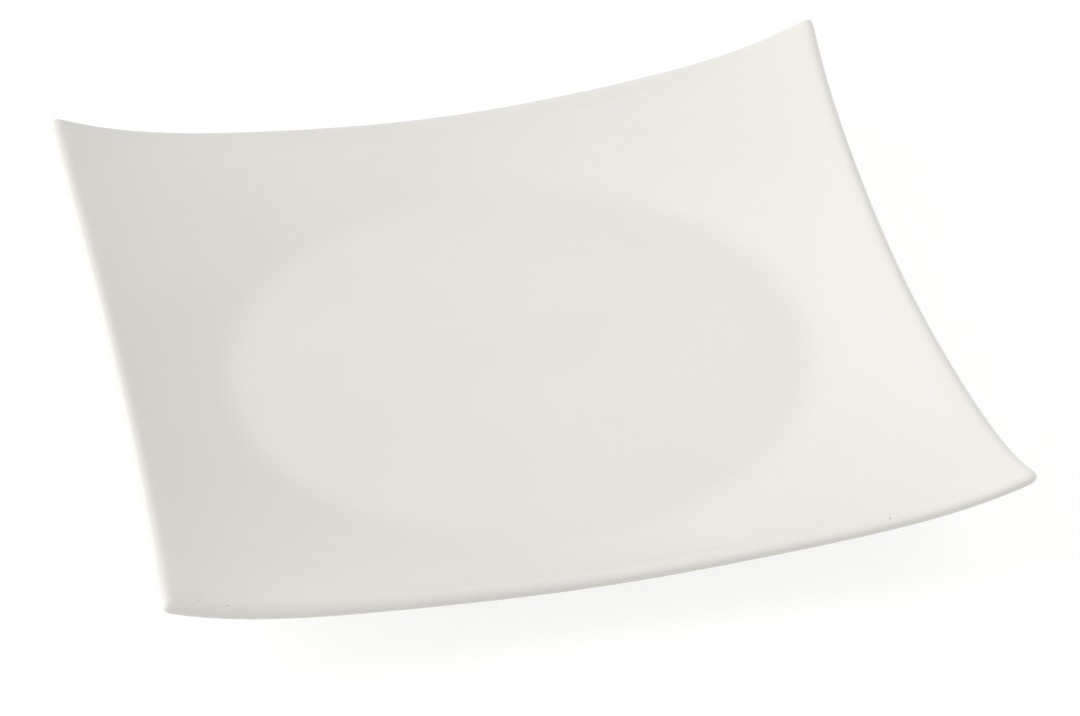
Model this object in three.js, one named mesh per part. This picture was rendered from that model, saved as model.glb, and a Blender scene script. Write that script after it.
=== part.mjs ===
// Square porcelain plate: a flat round well, a cupped rim and a lip that sweeps up to four corners.
// Millimetres, +Z up. The origin is the middle of the foot ring's resting plane.
// The wall is a smooth middle surface from the round well out to the square lip, given its thickness.
// The glaze is a thin coat on the fired body; the wiped, bare foot ring parts it into two islands.
import * as THREE from "three";
import { mergeVertices } from "three/addons/utils/BufferGeometryUtils.js";

// Outline of the lip
const SIDE = 260; // over the lip, from corner to corner along one side
const SIDE_BOW = 3.5; // how far each side curves inwards at its middle
const CORNER_RADIUS = 0.5; // of the lip's middle line, in plan
const CORNER_POINT = 0.31; // how much longer the lip's rounding is at the tip of a corner
const LIP_THICKNESS = 4.6;
const LIP_ROUNDING = 3.6; // the wall rounds off over this distance, to a half ellipse

// Rim: its section up to the middle of a side, and its longer section out to a corner
const SIDE_RISE = 8.3; // from the well's edge up to the lip's middle line
const SIDE_CUP = 0.25; // share of that climb that is held back, so that the rim steepens outwards
const SIDE_CUP_POWER = 2; // how late that share comes
const CORNER_RISE = 24.8;
const CORNER_CUP = 0.2;
const CORNER_CUP_POWER = 4.9;

// Well
const WELL_RADIUS = 92;
const WELL_WALL = 5.2;
const WELL_DISH = 1.5; // how far the middle of the well lies below its edge
const WELL_BEND = 5; // the wall bends up over this distance, each side of the well's edge

// Foot ring
const FOOT_INSET = 1.2; // from the wall's bend in to the fillet of the ring
const FOOT_WIDTH = 6;
const FOOT_HEIGHT = 3.6; // from the resting plane up to the underside of the well
const FOOT_FILLET = 1.8; // where the ring meets the underside
const FOOT_ROUNDING = 1; // along the bare edges of the foot; the glaze stops at its top

const GLAZE = 0.3; // thickness of the coat

// Fineness of the facets
const SIDE_STEPS = 15;
const CORNER_STEPS = 4;
const WELL_STEPS = 2;
const BEND_STEPS = 3;
const RIM_STEPS = 4;
const LIP_STEPS = 6;
const FILLET_STEPS = 2;
const ROUNDING_STEPS = 2;
const CORNER_CROWDING = 0.4; // how much closer the stations stand towards the corners
const CORNER_FAN = Math.PI / 24; // the stretch of the well's edge that runs out to one corner's arc
const SLOPE_STEP = 0.01; // distance over which the wall's slope is measured

const QUARTER = Math.PI / 2;
const wellMiddleLevel = FOOT_HEIGHT + WELL_WALL / 2;

// The lip's middle line in plan: on each quarter a shallow side arc, centred outside the plate,
// runs smoothly into a small corner arc.
const lipReach = SIDE / 2 - LIP_ROUNDING;
const cornerCentre = lipReach - CORNER_RADIUS;
const sideRadius =
  (cornerCentre ** 2 + (CORNER_RADIUS - SIDE_BOW) ** 2 - CORNER_RADIUS ** 2) / (2 * SIDE_BOW);
const sideCentre = lipReach - SIDE_BOW + sideRadius;
const lean = Math.atan2(cornerCentre, sideCentre - cornerCentre);
const sideArc = new THREE.EllipseCurve(
  sideCentre, 0, sideRadius, sideRadius, Math.PI + lean, Math.PI - lean, true,
);
const cornerArc = new THREE.EllipseCurve(
  cornerCentre, cornerCentre, CORNER_RADIUS, CORNER_RADIUS, -lean, QUARTER + lean,
);

const sideEnd = sideArc.getPoint(1);

// A station is one line in plan, from the well's edge out to the lip's middle line.
function station(lip, wellAngle, quarter, rounding) {
  const angle = wellAngle + quarter * QUARTER;
  const edge = new THREE.Vector2(Math.cos(angle), Math.sin(angle)).multiplyScalar(WELL_RADIUS);
  lip.rotateAround(new THREE.Vector2(), quarter * QUARTER);
  return { lip, angle, edge, run: lip.distanceTo(edge), rounding };
}

function sideStation(step, quarter) {
  const even = (2 * step) / SIDE_STEPS - 1;
  const way = THREE.MathUtils.lerp(even, Math.sin(even * QUARTER), CORNER_CROWDING);
  const lip = sideArc.getPoint((1 + way) / 2);
  const fan = (QUARTER - CORNER_FAN) / 2 / sideEnd.angle();
  return station(lip, Math.atan2(lip.y, lip.x) * fan, quarter, LIP_ROUNDING);
}

function cornerStation(step, quarter) {
  const way = step / CORNER_STEPS;
  const rounding = LIP_ROUNDING * (1 + CORNER_POINT * Math.sin(way * Math.PI) ** 4);
  return station(cornerArc.getPoint(way), QUARTER / 2 + (way - 0.5) * CORNER_FAN, quarter, rounding);
}

const stations = [];
for (let quarter = 0; quarter < 4; quarter++) {
  for (let step = 0; step < SIDE_STEPS; step++) stations.push(sideStation(step, quarter));
  for (let step = 0; step < CORNER_STEPS; step++) stations.push(cornerStation(step, quarter));
}

// The wall's middle surface over the plan. Past the well's edge the rim follows its side section
// and its corner section, and turns smoothly from one to the other.
const sideRun = lipReach - SIDE_BOW - WELL_RADIUS;
const cornerRun = Math.SQRT2 * cornerCentre + CORNER_RADIUS - WELL_RADIUS;

function wellLevel(radius) {
  const share = Math.min(1, radius / WELL_RADIUS);
  return wellMiddleLevel - WELL_DISH * (1 - share ** 2) ** 2;
}

function sectionClimb(rise, cup, power, share) {
  return (rise + WELL_WALL / 2) * ((1 - cup) * share + cup * share ** power);
}

function wallLevel(x, y) {
  const radius = Math.hypot(x, y);
  const past = radius - WELL_RADIUS;
  let ramp = Math.max(0, past);
  if (Math.abs(past) < WELL_BEND) ramp = (past + WELL_BEND) ** 2 / (4 * WELL_BEND);
  const side = sectionClimb(SIDE_RISE, SIDE_CUP, SIDE_CUP_POWER, ramp / sideRun);
  const corner = sectionClimb(CORNER_RISE, CORNER_CUP, CORNER_CUP_POWER, ramp / cornerRun);
  return wellLevel(radius) + THREE.MathUtils.lerp(side, corner, Math.sin(2 * Math.atan2(y, x)) ** 2);
}

function wallNormal(x, y) {
  const slopeX = wallLevel(x + SLOPE_STEP, y) - wallLevel(x - SLOPE_STEP, y);
  const slopeY = wallLevel(x, y + SLOPE_STEP) - wallLevel(x, y - SLOPE_STEP);
  return new THREE.Vector3(-slopeX, -slopeY, 2 * SLOPE_STEP).normalize();
}

// One ring of the middle surface, with its normal and half its thickness at each station.
// place gives the ring's distance from the axis along a station.
function wallRing(place) {
  return stations.map((at) => {
    const past = place(at) - WELL_RADIUS;
    const share = Math.max(0, past) / at.run;
    const { x, y } = past < 0
      ? at.edge.clone().multiplyScalar(1 + past / WELL_RADIUS)
      : at.edge.clone().lerp(at.lip, share);
    const middle = new THREE.Vector3(x, y, wallLevel(x, y));
    const half = THREE.MathUtils.lerp(WELL_WALL, LIP_THICKNESS, share) / 2;
    return { middle, up: wallNormal(x, y), half };
  });
}

function shares(count) {
  return Array.from({ length: count }, (_, index) => (index + 1) / count);
}

const wellRings = shares(WELL_STEPS).map((share) => wallRing(() => share * (WELL_RADIUS - WELL_BEND)));
const bendRings = shares(BEND_STEPS).map((share) =>
  wallRing(() => WELL_RADIUS + (2 * share - 1) * WELL_BEND),
);
const rimRings = shares(RIM_STEPS).map((share) =>
  wallRing(({ run }) => WELL_RADIUS + THREE.MathUtils.lerp(WELL_BEND, run, share)),
);
const lipRing = rimRings.at(-1);

// inset is 0 on the outer surface and GLAZE on the fired body beneath it.
function offsetRing(ring, side, inset) {
  return ring.map(({ middle, up, half }) => middle.clone().addScaledVector(up, side * (half - inset)));
}

// The way out of the plate at each station of the lip, square to the lip and along the wall.
const lipOut = lipRing.map(({ up }, index) => {
  const after = lipRing[(index + 1) % lipRing.length].middle;
  return after.clone().sub(lipRing.at(index - 1).middle).cross(up).normalize();
});

function roundedLip(inset) {
  return shares(LIP_STEPS).slice(0, -1).map((share) => {
    const rise = (LIP_THICKNESS / 2 - inset) * Math.cos(share * Math.PI);
    return lipRing.map(({ middle, up }, index) => {
      const reach = (stations[index].rounding - inset) * Math.sin(share * Math.PI);
      return middle.clone().addScaledVector(up, rise).addScaledVector(lipOut[index], reach);
    });
  });
}

// The foot ring and the recess inside it are plain revolves on the same stations.
const footFillet = Math.min(FOOT_FILLET, FOOT_HEIGHT - FOOT_ROUNDING);
const footOuter = WELL_RADIUS - WELL_BEND - FOOT_INSET - footFillet;
const footInner = footOuter - FOOT_WIDTH;

function revolvedRing(radius, height) {
  return stations.map(
    ({ angle }) => new THREE.Vector3(radius * Math.cos(angle), radius * Math.sin(angle), height),
  );
}

function arcRings(centre, height, radius, start, end, steps) {
  return [0, ...shares(steps)].map((share) => {
    const angle = THREE.MathUtils.lerp(start, end, share);
    return revolvedRing(centre + radius * Math.cos(angle), height + radius * Math.sin(angle));
  });
}

function undersideLevel(radius) {
  return wellLevel(radius) - WELL_WALL / 2;
}

function footFilletRings(centre, inset, start, end) {
  const height = undersideLevel(centre) - footFillet;
  return arcRings(centre, height, footFillet + inset, start, end, FILLET_STEPS);
}

// From the middle of the well, over the lip and along the back, down to the end of the glaze on the foot.
function faceRings(inset) {
  const top = [...wellRings, ...bendRings, ...rimRings];
  const back = [...bendRings, ...rimRings].reverse();
  return [
    ...top.map((ring) => offsetRing(ring, 1, inset)),
    ...roundedLip(inset),
    ...back.map((ring) => offsetRing(ring, -1, inset)),
    ...footFilletRings(footOuter + footFillet, inset, QUARTER, Math.PI),
    revolvedRing(footOuter - inset, FOOT_ROUNDING),
  ];
}

// The bare resting face and its two rounded edges.
function bareFootRings() {
  const turn = [footOuter - GLAZE - FOOT_ROUNDING, footInner + GLAZE + FOOT_ROUNDING];
  const outer = arcRings(turn[0], FOOT_ROUNDING, FOOT_ROUNDING, 0, -QUARTER, ROUNDING_STEPS);
  const inner = arcRings(turn[1], FOOT_ROUNDING, FOOT_ROUNDING, -QUARTER, -Math.PI, ROUNDING_STEPS);
  return [...outer.slice(1), ...inner.slice(0, -1)];
}

// From the end of the glaze inside the foot ring up to the underside and in towards its middle.
function recessRings(inset) {
  const reach = footInner - footFillet;
  const under = shares(WELL_STEPS + 1).slice(0, -1).reverse();
  return [
    revolvedRing(footInner + inset, FOOT_ROUNDING),
    ...footFilletRings(reach, inset, 0, QUARTER),
    ...under.map((share) => revolvedRing(share * reach, undersideLevel(share * reach) + inset)),
  ];
}

function topMiddle(inset) {
  return new THREE.Vector3(0, 0, wellLevel(0) + WELL_WALL / 2 - inset);
}

function bottomMiddle(inset) {
  return new THREE.Vector3(0, 0, undersideLevel(0) + inset);
}

// Facets between neighbouring rings, each split along its shorter diagonal.
// They face upwards where the rings run outwards, because a ring turns counterclockwise seen from above.
function skin(rings) {
  const facets = [];
  for (let index = 0; index < rings.length - 1; index++) {
    const near = rings[index];
    const far = rings[index + 1];
    for (let here = 0; here < near.length; here++) {
      const next = (here + 1) % near.length;
      const [a, b, c, d] = [near[here], far[here], far[next], near[next]];
      if (a.distanceTo(c) <= b.distanceTo(d)) facets.push([a, b, c], [a, c, d]);
      else facets.push([a, b, d], [b, c, d]);
    }
  }
  return facets;
}

// Facets from a point on the axis to the ring about it, facing upwards.
function fan(point, ring) {
  return ring.map((here, index) => [point, here, ring[(index + 1) % ring.length]]);
}

function turned(facets) {
  return facets.map(([a, b, c]) => [a, c, b]);
}

function faceSkin(inset) {
  const rings = faceRings(inset);
  return [...fan(topMiddle(inset), rings[0]), ...skin(rings)];
}

function recessSkin(inset) {
  const rings = recessRings(inset);
  return [...skin(rings), ...turned(fan(bottomMiddle(inset), rings.at(-1)))];
}

function closedMesh(facets, material) {
  const geometry = mergeVertices(new THREE.BufferGeometry().setFromPoints(facets.flat()));
  geometry.computeVertexNormals();
  return new THREE.Mesh(geometry, material);
}

function porcelainBody() {
  const bareFoot = [faceRings(GLAZE).at(-1), ...bareFootRings(), recessRings(GLAZE)[0]];
  const biscuit = new THREE.MeshStandardMaterial({ color: "#ebe5da", roughness: 0.7, metalness: 0 });
  return closedMesh([...faceSkin(GLAZE), ...skin(bareFoot), ...recessSkin(GLAZE)], biscuit);
}

function whiteGlaze() {
  return new THREE.MeshStandardMaterial({ color: "#e9e6e0", roughness: 0.12, metalness: 0 });
}

function glazeCoat() {
  const end = [faceRings(0).at(-1), faceRings(GLAZE).at(-1)];
  return closedMesh([...faceSkin(0), ...skin(end), ...turned(faceSkin(GLAZE))], whiteGlaze());
}

function glazeInFootRing() {
  const end = [recessRings(GLAZE)[0], recessRings(0)[0]];
  return closedMesh([...recessSkin(0), ...skin(end), ...turned(recessSkin(GLAZE))], whiteGlaze());
}

const plate = new THREE.Group();
const pieces = {
  porcelain_body: porcelainBody(),
  glaze_coat: glazeCoat(),
  glaze_in_foot_ring: glazeInFootRing(),
};
for (const [name, mesh] of Object.entries(pieces)) {
  mesh.name = name;
  plate.add(mesh);
}

export default plate;
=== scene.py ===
import math
from typing import NamedTuple

import bmesh
import bpy
from mathutils import Matrix, Vector


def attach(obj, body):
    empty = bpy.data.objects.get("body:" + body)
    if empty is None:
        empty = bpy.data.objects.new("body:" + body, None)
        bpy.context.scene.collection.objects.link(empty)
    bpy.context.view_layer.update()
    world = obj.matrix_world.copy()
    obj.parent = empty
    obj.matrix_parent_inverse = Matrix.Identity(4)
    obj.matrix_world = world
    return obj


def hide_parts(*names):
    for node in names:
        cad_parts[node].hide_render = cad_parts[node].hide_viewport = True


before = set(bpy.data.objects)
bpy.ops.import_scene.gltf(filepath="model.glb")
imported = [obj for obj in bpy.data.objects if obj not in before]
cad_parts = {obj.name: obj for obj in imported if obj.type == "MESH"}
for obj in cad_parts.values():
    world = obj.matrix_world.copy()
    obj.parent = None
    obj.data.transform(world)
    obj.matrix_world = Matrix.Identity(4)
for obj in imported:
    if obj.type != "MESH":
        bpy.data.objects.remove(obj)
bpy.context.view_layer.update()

MM = 0.001

# Outline of the lip
SIDE = 260 * MM  # over the lip, from corner to corner along one side
SIDE_BOW = 3.5 * MM  # how far each side curves inwards at its middle
CORNER_RADIUS = 0.5 * MM  # of the lip's middle line, in plan
CORNER_POINT = 0.31  # how much longer the lip's rounding is at the tip of a corner
CORNER_POINT_POWER = 4  # how soon that fades beside the tip
LIP_THICKNESS = 4.6 * MM
LIP_ROUNDING = 3.6 * MM  # the wall rounds off over this distance, to a half ellipse

# Rim: its section up to the middle of a side, and its longer section out to a corner
SIDE_RISE = 8.3 * MM  # from the well's edge up to the lip's middle line
SIDE_CUP = 0.25  # share of that climb that is held back, so that the rim steepens outwards
SIDE_CUP_POWER = 2  # how late that share comes
CORNER_RISE = 24.8 * MM
CORNER_CUP = 0.2
CORNER_CUP_POWER = 4.9

# Well
WELL_RADIUS = 92 * MM
WELL_WALL = 5.2 * MM
WELL_DISH = 1.5 * MM  # how far the middle of the well lies below its edge
WELL_BEND = 5 * MM  # the wall bends up over this distance, each side of the well's edge

# Foot ring and glaze
FOOT_INSET = 1.2 * MM  # from the wall's bend in to the fillet of the ring
FOOT_WIDTH = 6 * MM
FOOT_HEIGHT = 3.6 * MM
FOOT_FILLET = 1.8 * MM
FOOT_ROUNDING = 1 * MM  # along the bare edges of the foot; the glaze stops at its top
GLAZE = 0.3 * MM

# Fineness of the smooth skin
SIDE_STEPS = 40
CORNER_STEPS = 10
WELL_STEPS = 8
BEND_STEPS = 8
RIM_STEPS = 12
LIP_STEPS = 14
FILLET_STEPS = 6
ROUNDING_STEPS = 5
BEAD_STEPS = 4
SHARP = math.radians(50)  # edges that turn more than this stay sharp
CORNER_CROWDING = 0.4  # how much closer the stations stand towards the corners
CORNER_FAN = math.pi / 24  # the stretch of the well's edge that runs out to one corner's arc
SLOPE_STEP = 0.01 * MM

# Surface of the glaze
CLOUD_SIZE = 40 * MM  # stretches where the dipped glaze lies a little thicker
CLOUD_DEPTH = 0.03 * MM
RIPPLE_SIZE = 3 * MM
RIPPLE_DEPTH = 0.004 * MM
THIN_REACH = 7 * MM  # how far in from the lip's middle line the glaze is drawn thin
POOL_REACH = 8 * MM  # how far from the well's edge the gathered glaze reaches
PINHOLES = [  # in plan
    (-119 * MM, -125 * MM, 0),
    (-111 * MM, -126.5 * MM, 0),
    (86 * MM, -126 * MM, 0),
]
PINHOLE_RADIUS = 0.4 * MM
PINHOLE_DEPTH = 0.15 * MM
THIN_ROUGHNESS, THICK_ROUGHNESS = 0.18, 0.12  # where the glaze lies thin and thick

# Surface of the bare foot
GRAIN_SIZE = 0.5 * MM  # the real grain is about a tenth of this, too fine to show
GRAIN_DEPTH = 0.02 * MM
WHEEL_MARK = 0.35 * MM  # grinding marks; real ones are about a third of this, too fine to show
WHEEL_DEPTH = 0.01 * MM
MARK_LOW, MARK_HIGH = 0.45, 0.75  # the part of the wheel's noise over which a mark comes up
MARK_SHARE = 0.5  # how much of the colour the strongest mark takes
TOAST_SHARE = 0.7  # how much of the colour the toasted line takes beside the glaze
HOLLOW_ROUGHNESS, GRAIN_ROUGHNESS = 0.6, 0.8  # between the grains and on them

# Both surfaces
NOISE_LOW, NOISE_HIGH = 0.3, 0.7  # most of a noise texture lies between these
CERAMIC_IOR = 1.5

# The photograph's view
CAMERA_AZIMUTH = math.radians(-11.27)
CAMERA_ELEVATION = math.radians(36.51)
CAMERA_ROLL = math.radians(-1.39)
CAMERA_DISTANCE = 1411 * MM
CAMERA_ASIDE = 7.1 * MM  # the plate stands this far left of the picture's middle
CAMERA_LENS = 149  # on Blender's 36 mm sensor

# Light
AMBIENT = 0.38  # how bright the white tent is as light on the plate
LEFT_BOX = 126  # watts, like the three below
LEFT_SHEEN = 12
RIGHT_BOX = 2.9
FRONT_BOX = 34
FLOOR_GLOW = 1.16
FLOOR_GLOW_SHARE = 0.72  # of what the eye sees of the floor
FLOOR_RADIUS = 1.2  # metres
FLOOR_SEGMENTS = 64
FAR, NEAR = 4, 1  # metres from the middle of the plate to a soft box
BOX_SPREAD = 2 / 3  # how wide a box is for its distance

QUARTER = math.pi / 2
WELL_MIDDLE_LEVEL = FOOT_HEIGHT + WELL_WALL / 2
WELL_EDGE_LEVEL = FOOT_HEIGHT + WELL_WALL


def lerp(start, end, share):
    return start + (end - start) * share


def shares(count):
    return [(step + 1) / count for step in range(count)]


# The lip's middle line: on each quarter a shallow side arc, centred outside the plate,
# runs smoothly into a small corner arc.
LIP_REACH = SIDE / 2 - LIP_ROUNDING
CORNER_CENTRE = LIP_REACH - CORNER_RADIUS
MIDDLE_TO_CORNER_SQUARED = CORNER_CENTRE**2 + (CORNER_RADIUS - SIDE_BOW) ** 2
SIDE_RADIUS = (MIDDLE_TO_CORNER_SQUARED - CORNER_RADIUS**2) / (2 * SIDE_BOW)
SIDE_CENTRE = LIP_REACH - SIDE_BOW + SIDE_RADIUS
LEAN = math.atan2(CORNER_CENTRE, SIDE_CENTRE - CORNER_CENTRE)


def side_point(way):
    """On the side arc: way runs from -1 at one corner to 1 at the next."""
    angle = math.pi - way * LEAN
    return Vector((SIDE_CENTRE + SIDE_RADIUS * math.cos(angle), SIDE_RADIUS * math.sin(angle)))


def corner_point(way):
    angle = lerp(-LEAN, QUARTER + LEAN, way)
    turn = Vector((math.cos(angle), math.sin(angle)))
    return Vector((CORNER_CENTRE, CORNER_CENTRE)) + CORNER_RADIUS * turn


SIDE_END = side_point(1)


class Station(NamedTuple):
    """One line in plan, from the well's edge out to the lip's middle line."""

    lip: Vector
    angle: float
    edge: Vector
    run: float
    rounding: float


def station(lip, well_angle, quarter, rounding):
    turn = Matrix.Rotation(quarter * QUARTER, 2)
    angle = well_angle + quarter * QUARTER
    edge = WELL_RADIUS * Vector((math.cos(angle), math.sin(angle)))
    return Station(turn @ lip, angle, edge, (turn @ lip - edge).length, rounding)


def side_station(step, quarter):
    even = 2 * step / SIDE_STEPS - 1
    lip = side_point(lerp(even, math.sin(even * QUARTER), CORNER_CROWDING))
    fan = (QUARTER - CORNER_FAN) / 2 / math.atan2(SIDE_END.y, SIDE_END.x)
    return station(lip, math.atan2(lip.y, lip.x) * fan, quarter, LIP_ROUNDING)


def corner_station(step, quarter):
    way = step / CORNER_STEPS
    tip = math.sin(way * math.pi) ** CORNER_POINT_POWER
    rounding = LIP_ROUNDING * (1 + CORNER_POINT * tip)
    return station(corner_point(way), QUARTER / 2 + (way - 0.5) * CORNER_FAN, quarter, rounding)


STATIONS = []
for quarter in range(4):
    STATIONS += [side_station(step, quarter) for step in range(SIDE_STEPS)]
    STATIONS += [corner_station(step, quarter) for step in range(CORNER_STEPS)]

# The wall's middle surface over the plan. Past the well's edge the rim follows its side section
# and its corner section, and turns smoothly from one to the other.
SIDE_RUN = LIP_REACH - SIDE_BOW - WELL_RADIUS
CORNER_RUN = math.sqrt(2) * CORNER_CENTRE + CORNER_RADIUS - WELL_RADIUS


def well_level(radius):
    share = min(1, radius / WELL_RADIUS)
    return WELL_MIDDLE_LEVEL - WELL_DISH * (1 - share**2) ** 2


def section_climb(rise, cup, power, share):
    return (rise + WELL_WALL / 2) * ((1 - cup) * share + cup * share**power)


def wall_level(x, y):
    radius = math.hypot(x, y)
    past = radius - WELL_RADIUS
    ramp = max(0, past)
    if abs(past) < WELL_BEND:
        ramp = (past + WELL_BEND) ** 2 / (4 * WELL_BEND)
    side = section_climb(SIDE_RISE, SIDE_CUP, SIDE_CUP_POWER, ramp / SIDE_RUN)
    corner = section_climb(CORNER_RISE, CORNER_CUP, CORNER_CUP_POWER, ramp / CORNER_RUN)
    return well_level(radius) + lerp(side, corner, math.sin(2 * math.atan2(y, x)) ** 2)


def wall_normal(x, y):
    slope_x = wall_level(x + SLOPE_STEP, y) - wall_level(x - SLOPE_STEP, y)
    slope_y = wall_level(x, y + SLOPE_STEP) - wall_level(x, y - SLOPE_STEP)
    return Vector((-slope_x, -slope_y, 2 * SLOPE_STEP)).normalized()


class WallPoint(NamedTuple):
    """A point of the middle surface, its normal and half the wall's thickness."""

    middle: Vector
    up: Vector
    half: float


def wall_ring(place):
    """One ring of the middle surface. place(at) is its distance from the axis along a station."""
    ring = []
    for at in STATIONS:
        past = place(at) - WELL_RADIUS
        share = max(0, past) / at.run
        x, y = at.edge * (1 + past / WELL_RADIUS) if past < 0 else at.edge.lerp(at.lip, share)
        half = lerp(WELL_WALL, LIP_THICKNESS, share) / 2
        ring.append(WallPoint(Vector((x, y, wall_level(x, y))), wall_normal(x, y), half))
    return ring


def well_ring(share):
    return wall_ring(lambda at: share * (WELL_RADIUS - WELL_BEND))


def bend_ring(share):
    return wall_ring(lambda at: WELL_RADIUS + (2 * share - 1) * WELL_BEND)


def rim_ring(share):
    return wall_ring(lambda at: WELL_RADIUS + lerp(WELL_BEND, at.run, share))


WELL_RINGS = [well_ring(share) for share in shares(WELL_STEPS)]
BEND_RINGS = [bend_ring(share) for share in shares(BEND_STEPS)]
RIM_RINGS = [rim_ring(share) for share in shares(RIM_STEPS)]


def offset_ring(ring, side, inset):
    """The wall's face (side 1) or back (-1), on the glaze (inset 0) or the body (inset GLAZE)."""
    return [point.middle + point.up * side * (point.half - inset) for point in ring]


def way_out(index):
    """The way out of the plate at a station of the lip, square to the lip and along the wall."""
    before, after = LIP[index - 1], LIP[(index + 1) % len(LIP)]
    return (after.middle - before.middle).cross(LIP[index].up).normalized()


LIP = RIM_RINGS[-1]
LIP_OUT = [way_out(index) for index in range(len(LIP))]


def lip_ring(share, inset):
    """The lip is a half ellipse from the face round to the back."""
    rise = (LIP_THICKNESS / 2 - inset) * math.cos(share * math.pi)
    reach = [(at.rounding - inset) * math.sin(share * math.pi) for at in STATIONS]
    return [
        point.middle + point.up * rise + out * far
        for point, out, far in zip(LIP, LIP_OUT, reach)
    ]


# The foot ring and the recess inside it are plain revolves on the same stations.
FOOT_OUTER = WELL_RADIUS - WELL_BEND - FOOT_INSET - FOOT_FILLET
FOOT_INNER = FOOT_OUTER - FOOT_WIDTH
GLAZE_END = FOOT_ROUNDING + GLAZE  # where the glaze turns in to the bare foot


def round_ring(radius, height):
    return [
        Vector((radius * math.cos(at.angle), radius * math.sin(at.angle), height))
        for at in STATIONS
    ]


def arc_rings(centre, height, radius, start, end, steps):
    angles = [lerp(start, end, share) for share in [0, *shares(steps)]]
    return [
        round_ring(centre + radius * math.cos(angle), height + radius * math.sin(angle))
        for angle in angles
    ]


def underside_level(radius):
    return well_level(radius) - WELL_WALL / 2


def fillet_rings(centre, inset, start, end):
    height = underside_level(centre) - FOOT_FILLET
    return arc_rings(centre, height, FOOT_FILLET + inset, start, end, FILLET_STEPS)


def face_rings(inset):
    """From the middle of the well over the lip and the back to the glaze's end on the foot."""
    top = WELL_RINGS + BEND_RINGS + RIM_RINGS
    back = list(reversed(BEND_RINGS + RIM_RINGS))
    return [
        *[offset_ring(ring, 1, inset) for ring in top],
        *[lip_ring(share, inset) for share in shares(LIP_STEPS)[:-1]],
        *[offset_ring(ring, -1, inset) for ring in back],
        *fillet_rings(FOOT_OUTER + FOOT_FILLET, inset, QUARTER, math.pi),
        round_ring(FOOT_OUTER - inset, GLAZE_END - inset),
    ]


def bare_foot_rings():
    """The bare resting face and its two rounded edges."""
    outer = FOOT_OUTER - GLAZE - FOOT_ROUNDING
    inner = FOOT_INNER + GLAZE + FOOT_ROUNDING
    return [
        *arc_rings(outer, FOOT_ROUNDING, FOOT_ROUNDING, 0, -QUARTER, ROUNDING_STEPS)[1:],
        *arc_rings(inner, FOOT_ROUNDING, FOOT_ROUNDING, -QUARTER, -math.pi, ROUNDING_STEPS)[:-1],
    ]


def recess_rings(inset):
    """From the glaze's end inside the foot ring up to the underside and in towards its middle."""
    reach = FOOT_INNER - FOOT_FILLET
    under = [share * reach for share in reversed(shares(WELL_STEPS)[:-1])]
    return [
        round_ring(FOOT_INNER + inset, GLAZE_END - inset),
        *fillet_rings(reach, inset, 0, QUARTER),
        *[round_ring(radius, underside_level(radius) + inset) for radius in under],
    ]


def bead_rings(radius, start, end):
    """The glaze ends on the foot in a round bead, as fluid glaze does above a wiped edge."""
    return arc_rings(radius, GLAZE_END, GLAZE, start, end, BEAD_STEPS)[1:-1]


def well_middle(inset):
    return Vector((0, 0, well_level(0) + WELL_WALL / 2 - inset))


def underside_middle(inset):
    return Vector((0, 0, underside_level(0) + inset))


def set_ring(ring, places, from_lip):
    """Sets a ring of vertices in place and notes how far each is from the lip's middle line."""
    for vert, place, lip in zip(ring, places, LIP):
        vert.co = place
        vert[from_lip] = (place - lip.middle).length


def close_at(bm, ring, middle, from_lip):
    """Closes the end of a skin with a fan of faces about its middle."""
    edges = [edge for edge in bm.edges if edge.is_boundary and edge.verts[0] in ring]
    cap = bmesh.ops.edgeloop_fill(bm, edges=edges)["faces"]
    for vert in bmesh.ops.poke(bm, faces=cap)["verts"]:
        vert.co = middle
        vert[from_lip] = LIP_REACH


def placed(bm, name, finish):
    """Turns a bmesh into an object of the scene."""
    mesh = bpy.data.meshes.new(name)
    bm.to_mesh(mesh)
    bm.free()
    mesh.materials.append(finish)
    made = bpy.data.objects.new(name, mesh)
    bpy.context.scene.collection.objects.link(made)
    return made


def drawn_skin(name, rings, first_middle, last_middle, finish):
    """One closed piece: a circle extruded from ring to ring, shaped to each, then closed."""
    bm = bmesh.new()
    from_lip = bm.verts.layers.float.new("from_lip")
    ring = bmesh.ops.create_circle(bm, segments=len(STATIONS), radius=WELL_RADIUS)["verts"]
    first, edges = list(ring), list(bm.edges)
    set_ring(ring, rings[0], from_lip)
    for places in rings[1:]:
        made = bmesh.ops.extrude_edge_only(bm, edges=edges)["geom"]
        edges = [part for part in made if isinstance(part, bmesh.types.BMEdge)]
        fresh = {part for part in made if isinstance(part, bmesh.types.BMVert)}
        ring = [
            next(e.other_vert(vert) for e in vert.link_edges if e.other_vert(vert) in fresh)
            for vert in ring
        ]
        set_ring(ring, places, from_lip)
    close_at(bm, set(first), first_middle, from_lip)
    close_at(bm, set(ring), last_middle, from_lip)
    bmesh.ops.recalc_face_normals(bm, faces=bm.faces)
    for face in bm.faces:
        face.smooth = True
    for edge in bm.edges:
        edge.smooth = edge.calc_face_angle() < SHARP
    piece = placed(bm, name, finish)
    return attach(piece, "root")


def linear(srgb):
    """An sRGB hex colour as linear RGBA."""
    channels = [int(srgb[start : start + 2], 16) / 255 for start in (1, 3, 5)]
    return [*[c / 12.92 if c <= 0.04045 else ((c + 0.055) / 1.055) ** 2.4 for c in channels], 1]


def add_node(tree, kind, values=None, links=None, **settings):
    """Adds a node: settings are its own properties, values fill sockets and links feed them."""
    made = tree.nodes.new(kind)
    for name, value in settings.items():
        setattr(made, name, value)
    for socket, value in (values or {}).items():
        made.inputs[socket].default_value = value
    for socket, source in (links or {}).items():
        tree.links.new(source, made.inputs[socket])
    return made


def new_material(name):
    material = bpy.data.materials.new(name)
    material.use_nodes = True
    material.node_tree.nodes.clear()
    return material, material.node_tree


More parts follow.
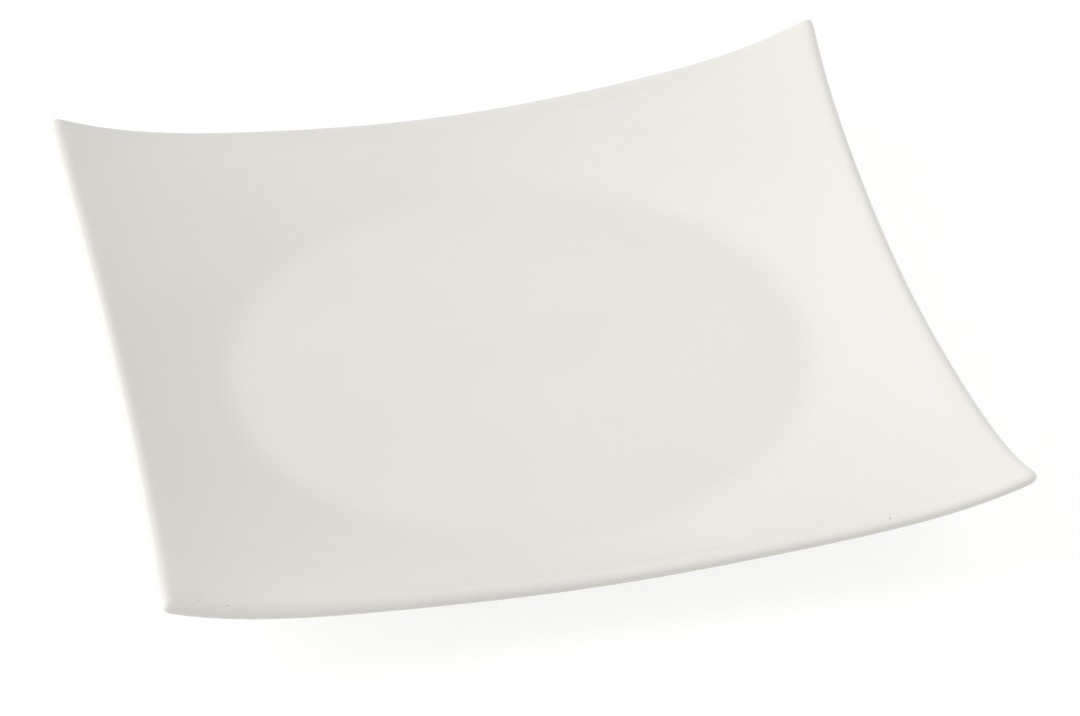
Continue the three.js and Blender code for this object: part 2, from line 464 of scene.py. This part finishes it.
# Inputs and outputs of a colour Mix node, which shares its names with the node's other kinds
SHARE, UNDER, OVER, MIXED = 0, 6, 7, 2


def in_plan(tree, place):
    """A place seen in plan, and its distance from the plate's axis."""
    flat = add_node(
        tree, "ShaderNodeVectorMath", {1: (1, 1, 0)}, {0: place}, operation="MULTIPLY"
    ).outputs[0]
    radius = add_node(tree, "ShaderNodeVectorMath", links={0: flat}, operation="LENGTH")
    return flat, radius.outputs["Value"]


def fired_surface(tree, colour, roughness, relief):
    """The end of both surfaces, which are ceramic and differ in what feeds the shader."""
    shader = add_node(
        tree,
        "ShaderNodeBsdfPrincipled",
        {"IOR": CERAMIC_IOR},
        {"Base Color": colour, "Roughness": roughness, "Normal": relief},
    )
    add_node(tree, "ShaderNodeOutputMaterial", links={"Surface": shader.outputs["BSDF"]})


def fired_glaze():
    # Clear feldspar glaze, dipped and fired over white porcelain. It flows out before it sets, so
    # the eye sees an even, glossy warm white. Up close it is a little cloudy and faintly rippled,
    # deeper where it gathered round the well and creamier where it drew thin over the lip, which
    # has three pinholes in front. Their darker colour is painted shade inside the pits.
    material, tree = new_material("fired_glaze")
    place = add_node(tree, "ShaderNodeTexCoord").outputs["Object"]

    # Thicker stretches are whiter and glossier and stand a little higher.
    clouds = add_node(
        tree, "ShaderNodeTexNoise", {"Scale": 1 / CLOUD_SIZE, "Detail": 2}, {"Vector": place}
    ).outputs["Fac"]
    thickness = add_node(
        tree,
        "ShaderNodeMapRange",
        {"From Min": NOISE_LOW, "From Max": NOISE_HIGH},
        {"Value": clouds},
    ).outputs["Result"]
    gloss = add_node(
        tree,
        "ShaderNodeMapRange",
        {"To Min": THIN_ROUGHNESS, "To Max": THICK_ROUGHNESS},
        {"Value": thickness},
    ).outputs["Result"]
    colour = add_node(
        tree,
        "ShaderNodeMix",
        {UNDER: linear("#e8e4df"), OVER: linear("#eae6e1")},
        {SHARE: thickness},
        data_type="RGBA",
    ).outputs[MIXED]

    from_lip = add_node(tree, "ShaderNodeAttribute", attribute_name="from_lip").outputs["Fac"]
    thin = add_node(
        tree,
        "ShaderNodeMapRange",
        {"From Min": LIP_ROUNDING, "From Max": THIN_REACH, "To Min": 1, "To Max": 0},
        {"Value": from_lip},
        interpolation_type="SMOOTHSTEP",
    ).outputs["Result"]
    colour = add_node(
        tree,
        "ShaderNodeMix",
        {OVER: linear("#e8e5df")},
        {SHARE: thin, UNDER: colour},
        data_type="RGBA",
    ).outputs[MIXED]

    flat, radius = in_plan(tree, place)
    past = add_node(
        tree, "ShaderNodeMath", {1: WELL_RADIUS}, {0: radius}, operation="SUBTRACT"
    ).outputs[0]
    away = add_node(tree, "ShaderNodeMath", links={0: past}, operation="ABSOLUTE").outputs[0]
    pool = add_node(
        tree,
        "ShaderNodeMapRange",
        {"From Max": POOL_REACH, "To Min": 1, "To Max": 0},
        {"Value": away},
        interpolation_type="SMOOTHSTEP",
    ).outputs["Result"]
    colour = add_node(
        tree,
        "ShaderNodeMix",
        {OVER: linear("#e8e5e0")},
        {SHARE: pool, UNDER: colour},
        data_type="RGBA",
    ).outputs[MIXED]

    gaps = [
        add_node(tree, "ShaderNodeVectorMath", {1: spot}, {0: flat}, operation="DISTANCE")
        for spot in PINHOLES
    ]
    nearest = gaps[0].outputs["Value"]
    for gap in gaps[1:]:
        nearest = add_node(
            tree,
            "ShaderNodeMath",
            links={0: nearest, 1: gap.outputs["Value"]},
            operation="MINIMUM",
        ).outputs[0]
    # Mask of the three pits: it sinks them as a bump and darkens them with painted shade.
    pinhole_and_shade = add_node(
        tree,
        "ShaderNodeMapRange",
        {"From Min": PINHOLE_RADIUS / 2, "From Max": PINHOLE_RADIUS, "To Min": 1, "To Max": 0},
        {"Value": nearest},
        interpolation_type="SMOOTHSTEP",
    ).outputs["Result"]
    # Painted shade: the pits are darkened as if shade lay inside them.
    colour = add_node(
        tree,
        "ShaderNodeMix",
        {OVER: linear("#c6bfb4")},
        {SHARE: pinhole_and_shade, UNDER: colour},
        data_type="RGBA",
    ).outputs[MIXED]

    ripples = add_node(
        tree, "ShaderNodeTexNoise", {"Scale": 1 / RIPPLE_SIZE, "Detail": 1}, {"Vector": place}
    ).outputs["Fac"]
    relief = add_node(
        tree, "ShaderNodeBump", {"Distance": CLOUD_DEPTH}, {"Height": clouds}
    ).outputs[0]
    relief = add_node(
        tree, "ShaderNodeBump", {"Distance": RIPPLE_DEPTH}, {"Height": ripples, "Normal": relief}
    ).outputs[0]
    relief = add_node(
        tree,
        "ShaderNodeBump",
        {"Distance": PINHOLE_DEPTH},
        {"Height": pinhole_and_shade, "Normal": relief},
        invert=True,
    ).outputs[0]
    fired_surface(tree, colour, gloss, relief)
    return material


def ground_porcelain():
    # Porcelain wiped bare of glaze before firing and then ground flat on a turning wheel. The eye
    # sees a matte cream ring with a fine grain, faint marks that run round it and a toasted line
    # beside the glaze.
    material, tree = new_material("ground_porcelain")
    place = add_node(tree, "ShaderNodeTexCoord").outputs["Object"]

    grain = add_node(
        tree, "ShaderNodeTexNoise", {"Scale": 1 / GRAIN_SIZE, "Detail": 2}, {"Vector": place}
    ).outputs["Fac"]
    speckle = add_node(
        tree,
        "ShaderNodeMapRange",
        {"From Min": NOISE_LOW, "From Max": NOISE_HIGH},
        {"Value": grain},
    ).outputs["Result"]
    matte = add_node(
        tree,
        "ShaderNodeMapRange",
        {"To Min": HOLLOW_ROUGHNESS, "To Max": GRAIN_ROUGHNESS},
        {"Value": speckle},
    ).outputs["Result"]
    colour = add_node(
        tree,
        "ShaderNodeMix",
        {UNDER: linear("#e3dccf"), OVER: linear("#efeae0")},
        {SHARE: speckle},
        data_type="RGBA",
    ).outputs[MIXED]

    _, radius = in_plan(tree, place)
    marks = add_node(
        tree,
        "ShaderNodeTexNoise",
        {"Scale": 1 / WHEEL_MARK, "Detail": 1},
        {"W": radius},
        noise_dimensions="1D",
    ).outputs["Fac"]
    mark = add_node(
        tree,
        "ShaderNodeMapRange",
        {"From Min": MARK_LOW, "From Max": MARK_HIGH, "To Max": MARK_SHARE},
        {"Value": marks},
    ).outputs["Result"]
    colour = add_node(
        tree,
        "ShaderNodeMix",
        {OVER: linear("#d3cabb")},
        {SHARE: mark, UNDER: colour},
        data_type="RGBA",
    ).outputs[MIXED]

    height = add_node(tree, "ShaderNodeSeparateXYZ", links={0: place}).outputs["Z"]
    toast = add_node(
        tree,
        "ShaderNodeMapRange",
        {"From Min": FOOT_ROUNDING / 2, "From Max": FOOT_ROUNDING, "To Max": TOAST_SHARE},
        {"Value": height},
    ).outputs["Result"]
    colour = add_node(
        tree,
        "ShaderNodeMix",
        {OVER: linear("#d8c5a8")},
        {SHARE: toast, UNDER: colour},
        data_type="RGBA",
    ).outputs[MIXED]

    relief = add_node(
        tree, "ShaderNodeBump", {"Distance": GRAIN_DEPTH}, {"Height": grain}
    ).outputs[0]
    relief = add_node(
        tree,
        "ShaderNodeBump",
        {"Distance": WHEEL_DEPTH},
        {"Height": marks, "Normal": relief},
        invert=True,
    ).outputs[0]
    fired_surface(tree, colour, matte, relief)
    return material


def seen_straight(tree):
    """1 for rays from the eye, off gloss or through glass, and 0 for rays that light the plate."""
    path = add_node(tree, "ShaderNodeLightPath")
    mirrored = add_node(
        tree,
        "ShaderNodeMath",
        links={0: path.outputs["Is Camera Ray"], 1: path.outputs["Is Glossy Ray"]},
        operation="ADD",
    )
    return add_node(
        tree,
        "ShaderNodeMath",
        links={0: mirrored.outputs[0], 1: path.outputs["Is Transmission Ray"]},
        operation="ADD",
        use_clamp=True,
    ).outputs[0]


def floor_paper():
    # Matte white paper. To the eye it mostly glows plain white, so that only a faint shadow shows.
    material, tree = new_material("floor_paper")
    matte = add_node(tree, "ShaderNodeBsdfDiffuse", {"Color": linear("#e4e4e2")})
    glow = add_node(tree, "ShaderNodeEmission", {"Strength": FLOOR_GLOW})
    share = add_node(
        tree,
        "ShaderNodeMath",
        {1: FLOOR_GLOW_SHARE},
        {0: seen_straight(tree)},
        operation="MULTIPLY",
    )
    both = add_node(
        tree,
        "ShaderNodeMixShader",
        links={0: share.outputs[0], 1: matte.outputs[0], 2: glow.outputs[0]},
    )
    add_node(tree, "ShaderNodeOutputMaterial", links={"Surface": both.outputs[0]})
    return material


def studio_floor():
    bm = bmesh.new()
    bmesh.ops.create_circle(bm, cap_ends=True, segments=FLOOR_SEGMENTS, radius=FLOOR_RADIUS)
    floor = placed(bm, "studio_floor", floor_paper())


def studio_world():
    # A white tent all round: even light on the plate, and plain white to the eye.
    world = bpy.data.worlds.new("white_tent")
    bpy.context.scene.world = world
    world.use_nodes = True
    tree = world.node_tree
    tree.nodes.clear()
    level = add_node(
        tree,
        "ShaderNodeMath",
        {1: 1 - AMBIENT, 2: AMBIENT},
        {0: seen_straight(tree)},
        operation="MULTIPLY_ADD",
    )
    tent = add_node(
        tree, "ShaderNodeBackground", {"Color": linear("#ffffff")}, {"Strength": level.outputs[0]}
    )
    add_node(tree, "ShaderNodeOutputWorld", links={"Surface": tent.outputs[0]})


def soft_box(name, azimuth, elevation, distance, energy, mirrored=False):
    """A square soft box that faces the plate. Azimuth 0 is in front of it, and 90 to its right."""
    lamp = bpy.data.lights.new(name, "AREA")
    lamp.energy = energy
    lamp.size = BOX_SPREAD * distance
    box = bpy.data.objects.new(name, lamp)
    turn = Matrix.Rotation(math.radians(azimuth), 4, "Z")
    tilt = Matrix.Rotation(QUARTER - math.radians(elevation), 4, "X")
    box.matrix_world = turn @ tilt @ Matrix.Translation((0, 0, distance))
    box.visible_glossy = mirrored
    bpy.context.scene.collection.objects.link(box)


def photo_camera():
    lens = bpy.data.cameras.new("photo_camera")
    lens.lens = CAMERA_LENS
    camera = bpy.data.objects.new("photo_camera", lens)
    turn = Matrix.Rotation(CAMERA_AZIMUTH, 4, "Z")
    tilt = Matrix.Rotation(QUARTER - CAMERA_ELEVATION, 4, "X")
    roll = Matrix.Rotation(CAMERA_ROLL, 4, "Z")
    target = Matrix.Translation((0, 0, WELL_EDGE_LEVEL))
    back = Matrix.Translation((CAMERA_ASIDE, 0, CAMERA_DISTANCE))
    camera.matrix_world = target @ turn @ tilt @ roll @ back
    bpy.context.scene.collection.objects.link(camera)
    bpy.context.scene.camera = camera


glaze, porcelain = fired_glaze(), ground_porcelain()

coat = drawn_skin(
    "plate_glaze",
    face_rings(0) + bead_rings(FOOT_OUTER - GLAZE, 0, -QUARTER) + face_rings(GLAZE)[::-1],
    well_middle(0),
    well_middle(GLAZE),
    glaze,
)
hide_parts("glaze_coat")

recess = drawn_skin(
    "recess_glaze",
    recess_rings(0)[::-1]
    + bead_rings(FOOT_INNER + GLAZE, math.pi, 3 * QUARTER)
    + recess_rings(GLAZE),
    underside_middle(0),
    underside_middle(GLAZE),
    glaze,
)
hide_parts("glaze_in_foot_ring")

body = drawn_skin(
    "plate_body",
    face_rings(GLAZE) + bare_foot_rings() + recess_rings(GLAZE),
    well_middle(GLAZE),
    underside_middle(GLAZE),
    porcelain,
)
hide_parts("porcelain_body")

studio_floor()
studio_world()
# Only left_sheen is mirrored in the glaze, because the photograph shows no image of other lamps.
soft_box("left_box", azimuth=-100, elevation=25, distance=FAR, energy=LEFT_BOX)
soft_box("left_sheen", azimuth=-140, elevation=18, distance=FAR, energy=LEFT_SHEEN, mirrored=True)
soft_box("right_box", azimuth=90, elevation=45, distance=NEAR, energy=RIGHT_BOX)
soft_box("front_box", azimuth=0, elevation=25, distance=FAR, energy=FRONT_BOX)
photo_camera()
bpy.context.scene.view_settings.view_transform = "Standard"
